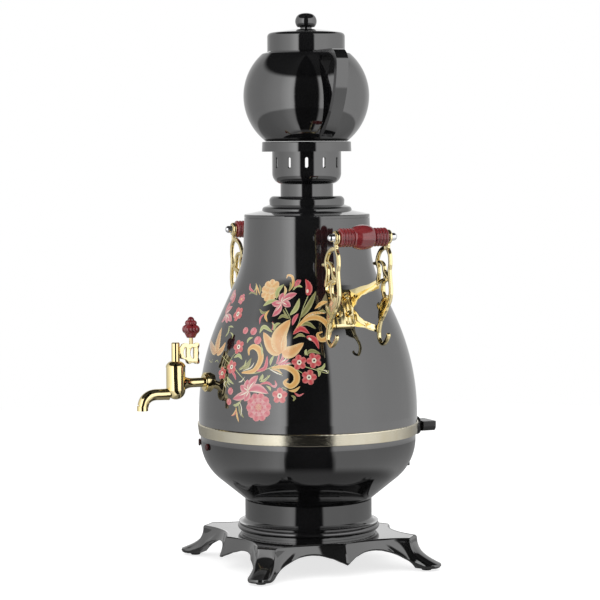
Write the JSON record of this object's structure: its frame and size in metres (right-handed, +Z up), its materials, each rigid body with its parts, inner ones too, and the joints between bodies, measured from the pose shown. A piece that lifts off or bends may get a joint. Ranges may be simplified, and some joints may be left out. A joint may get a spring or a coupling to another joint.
{
  "type": "electric samovar with teapot",
  "caption": "Electric samovar on a four-legged base: pear-shaped vessel, brass band, side handles, tap with a turning key, lid with a slotted crown, and a teapot on top.",
  "frame": {"origin": "on the vessel's axis at the level of the floor", "axes": "+Z up, the tap points along -Y, the handles stand at +X and -X"},
  "size_m": [0.3232, 0.358, 0.62],
  "materials": {
    "cast_black": "glossy black enamel on a casting",
    "rubber_black": "matt",
    "enamel_black": "glossy black enamel",
    "band_gold": "polished pale gold",
    "steel": "plain",
    "heater_steel": "satin",
    "brass": "polished",
    "plastic_black": "gloss",
    "pin_brass": "plated",
    "lens_dark": "dark red, unlit",
    "red_wood": "turned wood under dark red gloss lacquer",
    "chrome": "polished",
    "teapot_black": "glossy black glaze"
  },
  "bodies": {
    "stand": {"base": "cast_black", "rubber_feet": "rubber_black", "pedestal_neck": "enamel_black", "bowl": "enamel_black", "brass_band": "band_gold", "vessel": "enamel_black", "tank_floor": "steel", "tie_rod": "steel", "tie_washer": "steel", "tie_nut": "steel", "heating_element": "heater_steel", "heater_collars": "brass", "heater_gaskets": "rubber_black", "heater_nuts": "brass", "thermal_cutout": "plastic_black", "thermostat": "steel", "thermostat_nut": "steel", "mains_inlet": "plastic_black", "inlet_pins": "pin_brass", "lamp_lenses": "lens_dark", "lamp_holders": "plastic_black", "tap_rosette": "brass", "tap_gasket": "rubber_black", "tap_nut": "brass", "tap_body": "brass", "tap_bonnet": "brass", "right_front_bracket": "brass", "right_rear_bracket": "brass", "right_handle_saddle": "brass", "right_grip": "red_wood", "right_grip_rod": "steel", "right_dome_nuts": "chrome", "right_handle_screws": "brass", "right_handle_nuts": "steel", "left_front_bracket": "brass", "left_rear_bracket": "brass", "left_handle_saddle": "brass", "left_grip": "red_wood", "left_grip_rod": "steel", "left_dome_nuts": "chrome", "left_handle_screws": "brass", "left_handle_nuts": "steel"},
    "tap_key": {"tap_plug": "brass", "tap_key": "brass", "tap_key_cap": "brass", "tap_knob": "red_wood"},
    "lid": {"lid": "enamel_black", "lid_seal": "rubber_black", "crown": "enamel_black", "crown_screws": "steel", "crown_nuts": "steel", "teapot_stand": "enamel_black"},
    "teapot": {"teapot": "teapot_black"},
    "teapot_lid": {"teapot_lid": "teapot_black"},
    "thermostat_control": {"thermostat_shaft": "steel", "control_knob": "plastic_black"}
  },
  "joints": [
    {"name": "tap_key_turn", "type": "hinge", "parent": "stand", "child": "tap_key", "pos_m": [0, -0.1587, 0.24], "axis": [0, 0, 1], "continuous": true},
    {"name": "lid_lift", "type": "slide", "parent": "stand", "child": "lid", "axis": [0, 0, 1], "range_m": [0, 0.1]},
    {"name": "teapot_lift", "type": "slide", "parent": "lid", "child": "teapot", "axis": [0, 0, 1], "range_m": [0, 0.12]},
    {"name": "teapot_lid_lift", "type": "slide", "parent": "teapot", "child": "teapot_lid", "axis": [0, 0, 1], "range_m": [0, 0.06]},
    {"name": "thermostat_turn", "type": "hinge", "parent": "stand", "child": "thermostat_control", "pos_m": [0, 0.14, 0.149], "axis": [0, 1, 0], "range_deg": [0, 270]}
  ]
}
